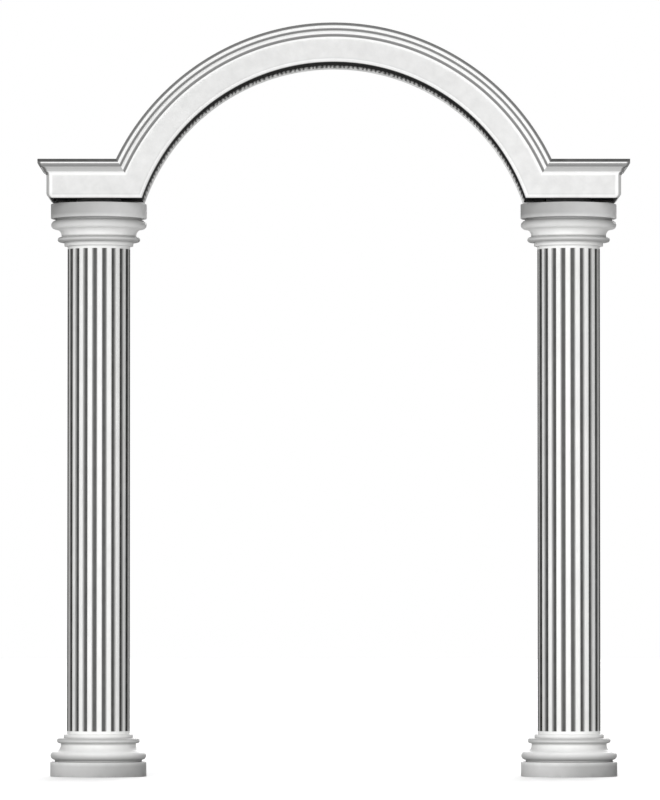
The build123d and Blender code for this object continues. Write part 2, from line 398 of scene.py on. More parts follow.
def ring_mesh(name, points, fields):
    """Mesh over a (rows, columns, 3) stack of closed rings: quads between the rows and a cap on each end.
    The fields are numbers for each point, kept as attributes."""
    rows, columns = points.shape[:2]
    index = np.arange(rows * columns).reshape(rows, columns)
    beside = np.roll(index, -1, axis=1)
    quads = np.stack((index[:-1], beside[:-1], beside[1:], index[1:]), axis=-1).reshape(-1, 4)
    mesh = bpy.data.meshes.new(name)
    mesh.from_pydata(points.reshape(-1, 3), [], quads.tolist() + [index[0].tolist(), index[-1].tolist()])
    shell = bmesh.new()
    shell.from_mesh(mesh)
    bmesh.ops.recalc_face_normals(shell, faces=shell.faces)
    shell.to_mesh(mesh)
    shell.free()
    mesh.shade_smooth()
    mesh.set_sharp_from_angle(angle=SHARP_ANGLE)
    for field, values in fields.items():
        kept = mesh.attributes.new(field, "FLOAT", "POINT")
        kept.data.foreach_set("value", np.broadcast_to(values, (rows, columns)).astype(np.float32).ravel())
    return mesh


def stand_for(context, node, points, fields, finish):
    """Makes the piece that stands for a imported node: its mesh, finish, body and material slot."""
    name = f"{node}_plaster"
    mesh = ring_mesh(name, points, fields)
    mesh.materials.append(finish)
    piece = bpy.data.objects.new(name, mesh)
    context.scene.collection.objects.link(piece)
    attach(piece, "root")
    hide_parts(node)


def maths(operation, reflected=False):
    """Method that adds a Math node of one operation, its two sides swapped when reflected."""

    def method(self, other):
        first, second = (other, self) if reflected else (self, other)
        return self.paint.node("ShaderNodeMath", {"operation": operation}, {0: first, 1: second})

    return method


class Reading:
    """A node's output. Arithmetic on it adds Math nodes, with numbers or other outputs on either side."""

    def __init__(self, paint, socket):
        self.paint = paint
        self.socket = socket

    __add__ = maths("ADD")
    __radd__ = maths("ADD", reflected=True)
    __sub__ = maths("SUBTRACT")
    __rsub__ = maths("SUBTRACT", reflected=True)
    __mul__ = maths("MULTIPLY")
    __rmul__ = maths("MULTIPLY", reflected=True)
    __truediv__ = maths("DIVIDE")
    __rtruediv__ = maths("DIVIDE", reflected=True)
    at_least = maths("MAXIMUM")


class Paint:
    """Node tree of one finish. node() is the one method that adds a node."""

    def __init__(self, tree):
        self.tree = tree
        tree.nodes.clear()

    def node(self, kind, settings=None, sockets=None, output=0):
        """Adds a node of one type: its settings first, then the values or links of its sockets."""
        made = self.tree.nodes.new(kind)
        for key, setting in (settings or {}).items():
            setattr(made, key, setting)
        for key, value in (sockets or {}).items():
            if isinstance(value, Reading):
                self.tree.links.new(value.socket, made.inputs[key])
            else:
                made.inputs[key].default_value = value
        return Reading(self, made.outputs[output]) if made.outputs else None

    def place(self):
        """Place on the piece, in metres in the shared frame."""
        return self.node("ShaderNodeTexCoord", output="Object")

    def field(self, name):
        """A number kept with the piece's points."""
        return self.node("ShaderNodeAttribute", {"attribute_name": name}, output="Fac")

    def stretched(self, place, scale):
        """Place with each axis scaled."""
        return self.node("ShaderNodeVectorMath", {"operation": "MULTIPLY"}, {0: place, 1: scale})

    def cloud(self, place, size, detail=2.0, gain=1.0):
        """Cloudy noise of one feature size, its contrast about one half raised by gain."""
        noise = self.node("ShaderNodeTexNoise", {}, {"Vector": place, "Scale": 1.0 / size, "Detail": detail})
        return (noise - 0.5) * gain + 0.5

    def pores(self, place, spacing):
        """One inside small round pores, zero elsewhere."""
        pore_share = 0.11
        sockets = {"Vector": place, "Scale": 1.0 / spacing}
        cells = self.node("ShaderNodeTexVoronoi", {}, sockets, output="Distance")
        return (1.0 - cells / pore_share).at_least(0.0)

    def strokes(self, along, across, spacing):
        """Uneven strokes across a band, from zero to one and back once in each spacing along it."""
        wave_period = math.pi / 10.0
        stroke_length = 0.4
        wander, ragged = 4.0, 2.0
        sockets = {"X": along * (wave_period / spacing), "Y": across / stroke_length}
        place = self.node("ShaderNodeCombineXYZ", {}, sockets)
        uneven = {"Distortion": wander, "Detail": ragged, "Detail Scale": ragged}
        return self.node("ShaderNodeTexWave", {}, {"Vector": place, "Scale": 1.0, **uneven}, output="Fac")

    def mix(self, factor, first, second):
        """Colour between two colours. The node's sockets for numbers and vectors come before these."""
        settings = {"data_type": "RGBA", "clamp_factor": True}
        colour_a, colour_b, colour_out = 6, 7, 2
        sockets = {0: factor, colour_a: first, colour_b: second}
        return self.node("ShaderNodeMix", settings, sockets, colour_out)

    def bump(self, height, distance):
        """Surface normal from a height of 0 to 1 over a distance in metres."""
        return self.node("ShaderNodeBump", {}, {"Height": height, "Distance": distance, "Strength": 1.0})

    def surface(self, base, roughness, normal, shine):
        """Joins the shader's inputs to the material's output."""
        sockets = {"Base Color": base, "Roughness": roughness, "Normal": normal, "Specular IOR Level": shine}
        shader = self.node("ShaderNodeBsdfPrincipled", {}, sockets)
        self.node("ShaderNodeOutputMaterial", {}, {"Surface": shader})


def opaque(tone, strength=1.0):
    """Colour property, scaled in brightness, as the four numbers that a socket takes."""
    return (*(strength * part for part in tone), 1.0)


def new_paint(name):
    """New material's node tree, emptied."""
    material = bpy.data.materials.new(name)
    material.use_nodes = True
    return material, Paint(material.node_tree)


# Contrast of the plaster's clouds and mottling, fineness of the mottling, and draw of streaks down a shaft
CLOUD_GAIN = 1.8
MOTTLE_GAIN = 2.2
MOTTLE_DETAIL = 3.0
STREAK_DRAW = (1.0, 1.0, 0.04)


def cast_plaster(name, tone, finish, mottling, gloss, streaks=0.0, floor_darkening=0.0, shine=0.3):
    """Cast plaster: clouds and trowel mottling in tone; paler where the edge field is high, which is painted
    highlight on boards and blocks and wear on mouldings; dark where the shade-and-joint field is, which is
    painted shade and dark joints, broken by the mottling; grain, trowel waves and air pores in the bump."""
    deep_share, floor_dark_share = 0.86, 0.45
    least_highlight_and_wear, mottled_highlight_and_wear = 0.7, 0.3
    least_shade, mottled_shade = 0.98, 0.04
    mottled_rough, shaded_rough = 0.12, 0.1
    mottle_rise, grain_rise, pore_depth, relief = 0.55, 0.25, 0.6, 0.0006
    material, paint = new_paint(name)
    place = paint.place()
    clouds = paint.cloud(place, finish.cloud_size, gain=CLOUD_GAIN)
    mottle = paint.cloud(place, finish.mottle_size, detail=MOTTLE_DETAIL, gain=MOTTLE_GAIN)
    grain = paint.cloud(place, finish.grain_size)
    pores = paint.pores(place, finish.pore_spacing)
    painted_shade_and_joints = paint.field("painted_shade_and_joints")
    edge = paint.field("edge")
    cloudy = clouds * (1.0 - mottling) + mottle * mottling
    body = paint.mix(cloudy, opaque(tone, deep_share), opaque(tone))
    if streaks:
        streak = paint.cloud(paint.stretched(place, STREAK_DRAW), finish.mottle_size, gain=CLOUD_GAIN)
        streaked = (streak - 0.5).at_least(0.0) * streaks
        body = paint.mix(streaked, body, opaque(tone, deep_share * deep_share))
    # Painted highlight on board and block edges, and wear on the mouldings, where the edge field is high
    highlit_and_worn = paint.mix(edge * (least_highlight_and_wear + mottled_highlight_and_wear * mottle), body, opaque(finish.border_white))
    # Darker, and mottled, close to the floor
    if floor_darkening:
        height = paint.node("ShaderNodeSeparateXYZ", {}, {0: place}, output="Z")
        near_floor = (1.0 - height / finish.mottle_size).at_least(0.0) * mottle
        highlit_and_worn = paint.mix(near_floor * floor_darkening, highlit_and_worn, opaque(tone, floor_dark_share))
    # Painted shade, and the dark joints, where the shade-and-joint field is high
    shaded = painted_shade_and_joints * (least_shade + mottled_shade * mottle)
    base = paint.mix(shaded, highlit_and_worn, opaque(finish.shade_and_joint_dark))
    rough = (1.0 - gloss) + mottled_rough * (mottle - 0.5) + shaded_rough * painted_shade_and_joints
    height = mottle_rise * mottle + grain_rise * grain - pore_depth * pores
    paint.surface(base, rough, paint.bump(height, relief), shine)
    return material


def shaded_combed_lining(name, finish):
    """Rough lining of the undersides: painted shade, with ragged pale comb strokes where the comb field
    rises.
    """
    mottle_gain = 2.0
    unstroked, stroked, dark_rest = 0.25, 0.85, 0.08
    least_rough, mottled_rough = 0.8, 0.1
    stroke_rise, grain_rise, mottle_rise, relief = 0.6, 0.2, 0.2, 0.0008
    material, paint = new_paint(name)
    place = paint.place()
    along = paint.field("along")
    depth = paint.node("ShaderNodeSeparateXYZ", {}, {0: place}, output="Y")
    strokes = paint.strokes(along, depth, finish.comb_spacing)
    mottle = paint.cloud(place, finish.mottle_size, detail=MOTTLE_DETAIL, gain=mottle_gain)
    grain = paint.cloud(place, finish.grain_size)
    comb = paint.field("comb")
    pale = (comb * (0.5 + mottle) * (unstroked + stroked * strokes) - dark_rest).at_least(0.0)
    base = paint.mix(pale, opaque(finish.shade_and_joint_dark), opaque(finish.lining_grey))
    rough = least_rough + mottled_rough * (mottle - 0.5)
    height = stroke_rise * strokes + grain_rise * grain + mottle_rise * mottle
    paint.surface(base, rough, paint.bump(height, relief), shine=0.05)
    return material


def shaft_plaster(finish):
    """White matte shaft with streaks that run down it."""
    tone = finish.shaft_white
    return cast_plaster("shaft_plaster", tone, finish, mottling=0.3, gloss=0.2, streaks=0.6, shine=0.05)


def moulding_plaster(finish):
    """Satin turned mouldings."""
    return cast_plaster("moulding_plaster", finish.moulding_white, finish, mottling=0.25, gloss=0.48)


def plinth_plaster(finish):
    """Greyer satin blocks, darker towards the floor."""
    return cast_plaster("plinth_plaster", finish.block_grey, finish, mottling=0.3, gloss=0.46, floor_darkening=0.35)


def header_plaster(finish):
    """Mottled boards with a pale border."""
    return cast_plaster("header_plaster", finish.fascia_grey, finish, mottling=0.65, gloss=0.32)


def cornice_plaster(finish):
    """White cornice."""
    return cast_plaster("cornice_plaster", finish.cornice_white, finish, mottling=0.3, gloss=0.36)


# Share of its radius at which a turned piece's profile starts and ends, and its caps close it
CORE_SHARE = 0.4


def block_profile(radius, low, high, low_round, high_round):
    """Half outline of a round block, from its core on the underside to its core on top."""
    core = CORE_SHARE * radius
    outline = np.array(((core, low), (radius, low), (radius, high), (core, high)))
    return divide(soften(outline, (0.0, low_round, high_round, 0.0)), BLOCK_SPACING, closed=False)


def moulding_profile(columns, radius, rise):
    """Half outline of a turned moulding over its plinth: quirk, torus, cavetto, neck, bead and fillet."""
    torus = columns.torus_height / 2.0
    bead = columns.bead_height / 2.0
    torus_centre = radius - torus
    torus_top = columns.quirk_height + columns.torus_height
    neck = torus_centre - columns.cavetto_radius
    neck_low = torus_top + columns.cavetto_radius
    bead_low = neck_low + columns.neck_height
    bead_top = bead_low + columns.bead_height
    bead_centre = columns.bead_radius - bead
    core = CORE_SHARE * radius
    quirk = columns.quirk_height
    fillet = columns.fillet_radius
    soft = columns.softness
    below = ((core, 0.0), (torus_centre, 0.0), (torus_centre, quirk))
    above = ((bead_centre, bead_top), (fillet, bead_top), (fillet, rise), (core, rise))
    outline = np.concatenate((
        soften(below, (0.0, soft, 0.0))[:-1],
        arc((torus_centre, quirk + torus), torus, -90.0, 90.0),
        arc((torus_centre, neck_low), columns.cavetto_radius, 270.0, 180.0)[1:],
        ((neck, bead_low),),
        arc((bead_centre, bead_low + bead), bead, -90.0, 90.0),
        soften(above, (0.0, soft, soft, 0.0))[1:],
    ))
    return divide(outline, MOULDING_SPACING, closed=False)


class PORTAL_OT_blocks(bpy.types.Operator):
    """Round plinths, abaci and bearing pads"""

    bl_idname = "portal.blocks"
    bl_label = "Plinths, abaci and pads"

    def execute(self, context):
        columns, painted_light_and_joints = context.scene.portal_columns, context.scene.portal_glaze
        finish = plinth_plaster(context.scene.portal_finish)
        soft, large = columns.softness, columns.block_round
        rounds = {"plinth": (soft, large), "abacus": (large, soft), "bearing_pad": (soft, soft)}
        for side in SIDES:
            for kind, (low_round, high_round) in rounds.items():
                node = f"{side}_{kind}"
                low, high = corners(node)
                axis = (low[0] + high[0]) / 2.0
                radius = (high[1] - low[1]) / 2.0
                points = turned(block_profile(radius, low[2], high[2], low_round, high_round), axis)
                across = 0.5 + (points[..., 0] - axis) / (2.0 * radius)
                # Bearing pads carry painted shade all over
                fields = {"painted_shade_and_joints": painted_light_and_joints.pad, "edge": 0.0}
                height = points[..., 2]
                # Plinths and abaci: painted shade to one side, painted light to the other, painted highlight
                # by the moulding
                if kind == "plinth":
                    fields = self.painted_side_light(painted_light_and_joints, across, (high[2] - height) / large, painted_light_and_joints.plinth_pale)
                if kind == "abacus":
                    fields = self.painted_side_light(painted_light_and_joints, 1.0 - across, (height - low[2]) / large, painted_light_and_joints.abacus_pale)
                stand_for(context, node, points, fields, finish)
        return {"FINISHED"}

    def painted_side_light(self, painted_light_and_joints, dark, from_lip, paleness):
        """Fields of a block: painted shade that deepens to one side, painted light on the other side and a
        painted highlight on the lip.
        """
        pale_share = 0.6
        painted_shade_and_joints = painted_light_and_joints.block_side_shade * np.minimum(dark / pale_share, 1.0)
        lip = painted_light_and_joints.block_lip * (1.0 - smooth(from_lip - 1.0))
        pale = paleness * smooth((pale_share - dark) / pale_share)
        return {"painted_shade_and_joints": painted_shade_and_joints, "edge": np.maximum(lip, pale)}


class PORTAL_OT_mouldings(bpy.types.Operator):
    """Turned base and capital mouldings, the capital's being the base's turned over"""

    bl_idname = "portal.mouldings"
    bl_label = "Base and capital mouldings"

    def execute(self, context):
        columns, painted_light_and_joints = context.scene.portal_columns, context.scene.portal_glaze
        finish = moulding_plaster(context.scene.portal_finish)
        wear = 0.4
        for side in SIDES:
            for kind in ("base", "capital"):
                node = f"{side}_{kind}_moulding"
                low, high = corners(node)
                rise = high[2] - low[2]
                profile = moulding_profile(columns, (high[1] - low[1]) / 2.0, rise)
                # Painted shade and highlight on the mouldings, by height
                painted_shade_and_joints = self.painted_shade_and_joints(columns, painted_light_and_joints, profile[:, 1])
                placed = np.column_stack((profile[:, 0], low[2] + profile[:, 1]))
                if kind == "capital":
                    placed[:, 1] = high[2] - profile[:, 1]
                points = turned(placed, (low[0] + high[0]) / 2.0)
                stand_for(context, node, points, {"painted_shade_and_joints": painted_shade_and_joints[:, None], "edge": wear}, finish)
        return {"FINISHED"}

    def painted_shade_and_joints(self, columns, painted_light_and_joints, height):
        """Painted shade by height: deep in the quirk, fading over the torus, and beside the bead, with a
        painted highlight on its middle.
        """
        quirk_top = columns.quirk_height + columns.softness
        torus_top = columns.quirk_height + columns.torus_height
        bead_low = torus_top + columns.cavetto_radius + columns.neck_height
        bead_middle = bead_low + columns.bead_height / 2.0
        bead_top = bead_low + columns.bead_height
        quirk = painted_light_and_joints.quirk * (1.0 - smooth((height - quirk_top) / columns.quirk_height))
        torus = painted_light_and_joints.torus * np.clip((torus_top - height) / columns.torus_height, 0.0, 1.0)
        beside = painted_light_and_joints.bead * band(height, bead_low, bead_top, columns.neck_height / 2.0)
        light = painted_light_and_joints.bead_light * band(height, bead_middle, bead_middle, columns.bead_height / 4.0)
        return np.maximum(np.maximum(quirk, torus), beside * (1.0 - light))


class PORTAL_OT_shafts(bpy.types.Operator):
    """Fluted shafts with a plain collar at each end"""

    bl_idname = "portal.shafts"
    bl_label = "Fluted shafts"

    def execute(self, context):
        columns, painted_light_and_joints = context.scene.portal_columns, context.scene.portal_glaze
        finish = shaft_plaster(context.scene.portal_finish)
        for name, side in SIDES.items():
            node = f"{name}_shaft"
            low, high = corners(node)
            radius = (high[0] - low[0]) / 2.0
            turn, depth, across = self.ring(columns, radius, -side * columns.flute_turn)
            height, run, eased = self.rows(columns, low[2], high[2])
            out = radius - eased - depth * run
            x = (low[0] + high[0]) / 2.0 + out * np.cos(turn)
            points = np.stack((x, out * np.sin(turn), np.broadcast_to(height, x.shape)), axis=-1)
            # Painted shade in the flutes and at the shafts' sides, with dark joints at the ends
            painted_shade_and_joints = self.painted_shade_and_joints(painted_light_and_joints, turn, across, run, eased / columns.softness)
            stand_for(context, node, points, {"painted_shade_and_joints": painted_shade_and_joints, "edge": 0.0}, finish)
        return {"FINISHED"}

    def ring(self, columns, radius, turned_in):
        """Angles round a shaft, each with the depth below its radius and the distance from a flute's middle.
        Across a flute, at angle a from its middle, a circle of radius f about a point c from the axis leaves
        c cos a - sqrt(f f - c c sin a sin a)."""
        arris_share = 0.4
        pitch = 2.0 * np.pi / columns.flute_count
        hollow = columns.flute_radius
        reach = radius - columns.flute_depth + hollow
        half = math.acos((reach**2 + radius**2 - hollow**2) / (2.0 * reach * radius))
        flute = half * np.sin(np.linspace(-np.pi / 2.0, np.pi / 2.0, FLUTE_STEPS, endpoint=False))
        land = (1.0 - np.cos(np.linspace(0.0, np.pi, LAND_STEPS, endpoint=False))) / 2.0
        land_width = pitch - 2.0 * half
        chord = reach * np.sin(flute)
        flute_depth = radius - reach * np.cos(flute) + np.sqrt(np.maximum(hollow**2 - chord**2, 0.0))
        from_arris = radius * land_width * np.minimum(land, 1.0 - land)
        land_depth = arris_share * columns.arris_round * (1.0 - smooth(from_arris / columns.arris_round))
        starts = turned_in + pitch * (np.arange(columns.flute_count) + 0.5)
        turn = (starts[:, None] + np.concatenate((flute, half + land_width * land))).ravel()
        depth = np.concatenate((flute_depth, land_depth))
        across = np.concatenate((np.abs(chord), from_arris + radius * np.sin(half)))
        return turn, np.tile(depth, columns.flute_count), np.tile(across, columns.flute_count)

    def rows(self, columns, low, high):
        """Heights of a shaft's rings, their share of the flutes' depth, which collars don't have, and how far
        they are drawn in, which only the first and last are."""
        collar, soft = columns.collar_length, columns.softness
        inner_share = 3.0
        stops = np.array((0.0, soft, collar - soft, collar, collar + soft, inner_share * collar))
        runs = np.array((0.0, 0.0, 0.0, 0.0, 1.0, 1.0))
        height = np.concatenate((low + stops, high - stops[::-1]))
        run = np.concatenate((runs, runs[::-1]))
        eased = np.zeros_like(height)
        eased[[0, -1]] = soft
        return height[:, None], run[:, None], eased[:, None]

    def painted_shade_and_joints(self, painted_light_and_joints, turn, across, run, joint):
        """Painted shade that fills the flutes and fades over the lands, more at the shafts' sides, and dark
        joints at the ends.
        """
        side = np.cos(turn) ** 2
        full = painted_light_and_joints.flute_full + painted_light_and_joints.side_full * side**2
        filled = 1.0 - smooth((across - full) / painted_light_and_joints.flute_fade)
        in_flutes = (painted_light_and_joints.flute + painted_light_and_joints.side_flute * side) * filled * run
        on_lands = painted_light_and_joints.side_land * side**3 * run
        return np.maximum(np.maximum(in_flutes, on_lands), painted_light_and_joints.shaft_joint * joint)


def board_section(header):
    """Closed section of a face or end board, as projection and height: its lower edge is a quarter round."""
    radius = header.lower_round
    inner = -HEADER.board
    lower = arc((-radius, radius), radius, 0.0, -90.0)
    flat = ((inner, 0.0), (inner, HEADER.cover), (0.0, HEADER.cover))
    outline = np.concatenate((lower, flat))
    reach = np.concatenate((np.zeros(len(lower)), np.full(len(flat), header.softness)))
    return divide(soften(outline, reach), FASCIA_SPACING)


# Fades of a painted line, of the painted shade under a board and of the painted highlight at its ends
LINE_FADE = 0.003
UNDERSIDE_FADE = 0.0021
SIDE_FADE = 0.006
# How far the painted shade under a board reaches up its rounded edge, and a painted highlight down from the
# cornice
UNDERSIDE_REACH = 0.003
UPPER_REACH = 0.0045
# Where the painted shade on a board's inner side starts, and over what it rises, as shares of the board's
# thickness
INSIDE_SHARE = 0.8
INSIDE_FADE_SHARE = 0.1


def board_fields(painted_light_and_joints, section, points, from_corner, under_shade):
    """Shade-and-joint and edge fields of a board: painted shade on its underside and inner side, a dark joint
    on its corner, a painted highlight as pale border on its face with a faint painted shade line above it.
    """
    out = np.broadcast_to(section[:, 0], points.shape[:2])
    up = np.broadcast_to(section[:, 1], points.shape[:2])
    under = under_shade * smooth((UNDERSIDE_REACH - up) / UNDERSIDE_FADE)
    inside = painted_light_and_joints.inside * smooth((-out / HEADER.board - INSIDE_SHARE) / INSIDE_FADE_SHARE)
    corner = painted_light_and_joints.corner * (1.0 - smooth((from_corner - painted_light_and_joints.corner_width) / LINE_FADE))
    quirk_low = painted_light_and_joints.border + LINE_FADE
    quirk = painted_light_and_joints.border_quirk * band(up, quirk_low, quirk_low + LINE_FADE, LINE_FADE)
    lower = 1.0 - smooth((up - painted_light_and_joints.border) / LINE_FADE)
    upper = smooth((up - HEADER.fascia + UPPER_REACH) / LINE_FADE)
    side = 1.0 - smooth((from_corner - painted_light_and_joints.border_side) / SIDE_FADE)
    painted_shade_and_joints = np.maximum(np.maximum(under, inside), np.maximum(corner, quirk))
    return {"painted_shade_and_joints": painted_shade_and_joints, "edge": np.maximum(np.maximum(lower, upper), side)}


def run_shares(inner, steps):
    """Shares of a level run in to the haunch: close rows beside the header's corner, then even steps."""
    close = np.array(CORNER_ROWS) / (HEADER.end - inner)
    return np.concatenate((close, np.linspace(close[-1], 1.0, steps)[1:]))


def end_run(section, drawn, steps, side):
    """Run across one end of the header, with close rows beside its two corners, where it is drawn in, and
    even steps between them. Gives its points and how far each is from the nearer corner."""
    close = 1.0 - np.array(CORNER_ROWS) / HEADER.half_depth
    shares = np.concatenate((-close, np.linspace(-close[-1], close[-1], steps)[1:-1], close[::-1]))
    front, back = end_rows(drawn, [-1.0], side), end_rows(drawn, [1.0], side)
    points = np.concatenate((front, end_rows(section, shares, side), back))
    return points, HEADER.half_depth + section[:, 0] - np.abs(points[..., 1])


class PORTAL_OT_fascias(bpy.types.Operator):
    """Front and back fascia boards"""

    bl_idname = "portal.fascias"
    bl_label = "Fascias"

    def execute(self, context):
        header, painted_light_and_joints = context.scene.portal_header, context.scene.portal_glaze
        finish = header_plaster(context.scene.portal_finish)
        section = board_section(header)
        drawn = drawn_in(section, header.seam)
        shares = run_shares(meeting(0.0), FASCIA_STEPS)
        arch = np.linspace(0.0, 1.0, ARCH_STEPS)[1:-1]
        end, tip_end = HEADER.end + section[:, 0], HEADER.end + drawn[:, 0]
        for name, face in FACES.items():
            placed, tip = on_face(section, face), on_face(drawn, face)
            points = np.concatenate((
                level_rows(tip, tip_end, [0.0], 1),
                level_rows(placed, end, shares, 1),
                arch_rows(placed, arch),
                level_rows(placed, end, shares[::-1], -1),
                level_rows(tip, tip_end, [0.0], -1),
            ))
            from_corner = end - np.abs(points[..., 0])
            # Black painted shade under the front board, only a trace of it under the back one
            under_shade = painted_light_and_joints.under if name == "front" else painted_light_and_joints.back_under
            fields = board_fields(painted_light_and_joints, section, points, from_corner, under_shade)
            stand_for(context, f"{name}_fascia", points, fields, finish)
        return {"FINISHED"}


class PORTAL_OT_end_boards(bpy.types.Operator):
    """Boards that close the header's ends"""

    bl_idname = "portal.end_boards"
    bl_label = "End boards"

    def execute(self, context):
        header, painted_light_and_joints = context.scene.portal_header, context.scene.portal_glaze
        finish = header_plaster(context.scene.portal_finish)
        section = board_section(header)
        drawn = drawn_in(section, header.seam)
        for name, side in SIDES.items():
            points, from_corner = end_run(section, drawn, END_BOARD_STEPS, side)
            fields = board_fields(painted_light_and_joints, section, points, from_corner, painted_light_and_joints.under)
            stand_for(context, f"{name}_end_board", points, fields, finish)
        return {"FINISHED"}


def flat_section(half_depth, low, high, soft):
    """Closed section of a flat board, as depth and height."""
    outline = ((-half_depth, low), (half_depth, low), (half_depth, high), (-half_depth, high))
    return divide(soften(outline, soft), FLAT_SPACING)


class PORTAL_OT_linings(bpy.types.Operator):
    """Arch soffit and bed boards, set back between the fascias"""

    bl_idname = "portal.linings"
    bl_label = "Soffit and bed boards"

    def execute(self, context):
        header = context.scene.portal_header
        finish = shaded_combed_lining("shaded_combed_lining", context.scene.portal_finish)
        section = flat_section(HEADER.lining_half, HEADER.lining_low, HEADER.lining_high, header.softness)
        arch = arch_rows(section, np.linspace(0.0, 1.0, ARCH_STEPS))
        turn = np.arctan2(arch[..., 2] - HEADER.centre, arch[..., 0])
        # Painted shade on the soffit's front and on the bed boards; pale comb strokes rise towards the back
        comb_share = 0.9
        comb = smooth(arch[..., 1] / (comb_share * HEADER.lining_half))
        fields = {"along": HEADER.radius * turn, "comb": comb}
        stand_for(context, "arch_soffit", arch, fields, finish)
        for name, side in SIDES.items():
            run = level_rows(section, HEADER.bed_end, np.linspace(0.0, 1.0, FLAT_STEPS), side)
            fields = {"along": np.abs(run[..., 0]), "comb": 0.0}
            stand_for(context, f"{name}_bed_board", run, fields, finish)
        return {"FINISHED"}


class PORTAL_OT_top_boards(bpy.types.Operator):
    """Boards that cover the header's top"""

    bl_idname = "portal.top_boards"
    bl_label = "Top boards"

    def execute(self, context):
        header = context.scene.portal_header
        finish = header_plaster(context.scene.portal_finish)
        section = flat_section(HEADER.half_depth, HEADER.cover, HEADER.top, header.softness)
        runs = {"arch": arch_rows(section, np.linspace(0.0, 1.0, ARCH_STEPS))}
        for name, side in SIDES.items():
            runs[name] = level_rows(section, HEADER.end, np.linspace(0.0, 1.0, FLAT_STEPS), side)
        joint, joint_width = 0.35, 0.004
        for name, points in runs.items():
            from_edge = HEADER.half_depth - np.abs(points[..., 1])
            painted_shade_and_joints = joint * smooth(1.0 - from_edge / joint_width)
            stand_for(context, f"{name}_top_board", points, {"painted_shade_and_joints": painted_shade_and_joints, "edge": 0.0}, finish)
        return {"FINISHED"}


def cornice_section(header):
    """Closed section of the cornice, as projection and height: fillet, cove, band, ovolo and listel."""
    low = HEADER.fascia
    cove_low = low + header.fillet_height
    cove_top = cove_low + header.cove_height
    band_top = cove_top + header.band_height
    listel_low = band_top + header.ovolo_radius
    fillet = header.fillet_projection
    cove = fillet + header.cove_projection
    band_in = cove + header.band_step
    band_out = band_in + header.band_projection
    lip = HEADER.reach
    coved = bow((fillet, cove_low), (cove, cove_top), header.cove_hollow)
    banded = bow((band_in, cove_top), (band_out, band_top), header.band_hollow)
    rounded = arc((band_out, listel_low), header.ovolo_radius, -90.0, 0.0)[1:]
    above = ((lip, listel_low), (lip, HEADER.top), (0.0, HEADER.top))
    below = ((0.0, low), (fillet, low))
    outline = np.concatenate((below, coved, banded, rounded, above))
    kept = np.zeros(len(coved) + len(banded) + len(rounded))
    soft = header.softness
    reach = np.concatenate(((0.0, soft), kept, (soft, soft, 0.0)))
    return divide(soften(outline, reach), CORNICE_SPACING)


def cornice_fields(painted_light_and_joints, section, points, lines, from_corner):
    """Fields of a cornice: painted shade lines, each (low, high, strength) over its foot, and dark joints on
    its corners.
    """
    lip_depth = 0.004
    out = np.broadcast_to(section[:, 0], points.shape[:2])
    over = np.broadcast_to(section[:, 1], points.shape[:2]) - HEADER.fascia
    painted_shade_and_joints = np.zeros(points.shape[:2])
    for low, high, strength in lines:
        painted_shade_and_joints = np.maximum(painted_shade_and_joints, strength * band(over, low, high, LINE_FADE))
    rise = HEADER.top - HEADER.fascia
    on_top = smooth((over - rise) / LINE_FADE + 1.0) * smooth((HEADER.reach - lip_depth - out) / lip_depth)
    joint = painted_light_and_joints.mitre * (1.0 - smooth((from_corner - painted_light_and_joints.mitre_width) / LINE_FADE))
    return {"painted_shade_and_joints": np.maximum(painted_shade_and_joints, joint) * (1.0 - on_top), "edge": 1.0 - on_top}


# Painted shade lines of the cornice: heights over its foot, and strength
LEVEL_LINES = ((0.0145, 0.0285, 0.47), (0.0325, 0.0430, 0.72), (0.0510, 0.062, 0.93))
ARCH_LINES = ((0.0095, 0.0175, 0.76), (0.0325, 0.0385, 0.76), (0.0520, 0.0615, 0.84))


